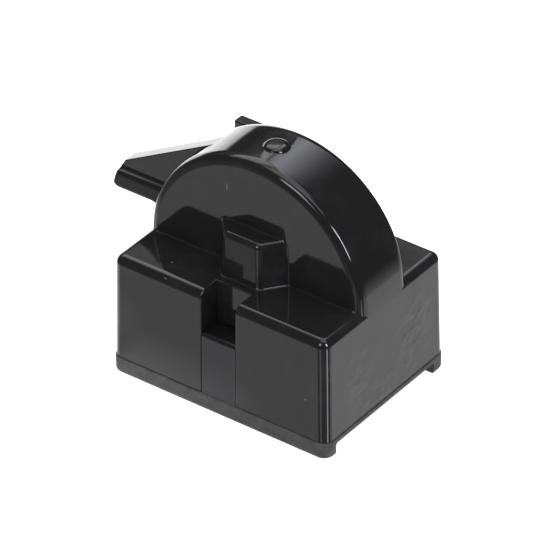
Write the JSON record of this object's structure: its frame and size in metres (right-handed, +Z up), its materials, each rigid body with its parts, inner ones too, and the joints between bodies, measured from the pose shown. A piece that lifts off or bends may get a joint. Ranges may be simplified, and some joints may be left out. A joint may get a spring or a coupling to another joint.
{
  "type": "compressor start relay",
  "caption": "Plug-on start relay for a cooling compressor: black block with half-round dome, side wing, front snap slot and a base cover on two low skids",
  "frame": {"origin": "middle of the whole part's plan, at the underside of the skids", "axes": "+X runs right along the long front face, +Y runs from the slotted front to the back ledge, +Z is up"},
  "size_m": [0.0416, 0.0258, 0.0342],
  "materials": {
    "housing": "glossy black moulding",
    "base_cover": "satin black moulding",
    "ptc_disc": "silvered faces",
    "springs": "bright strip",
    "sockets": "bright rolled strip",
    "brass": "tinned"
  },
  "bodies": {
    "root": {"housing": "housing", "base_cover": "base_cover", "ptc_disc": "ptc_disc", "start_spring": "springs", "main_spring": "springs", "start_socket": "sockets", "main_socket": "sockets", "start_strap": "brass", "main_terminal": "brass"}
  },
  "joints": []
}
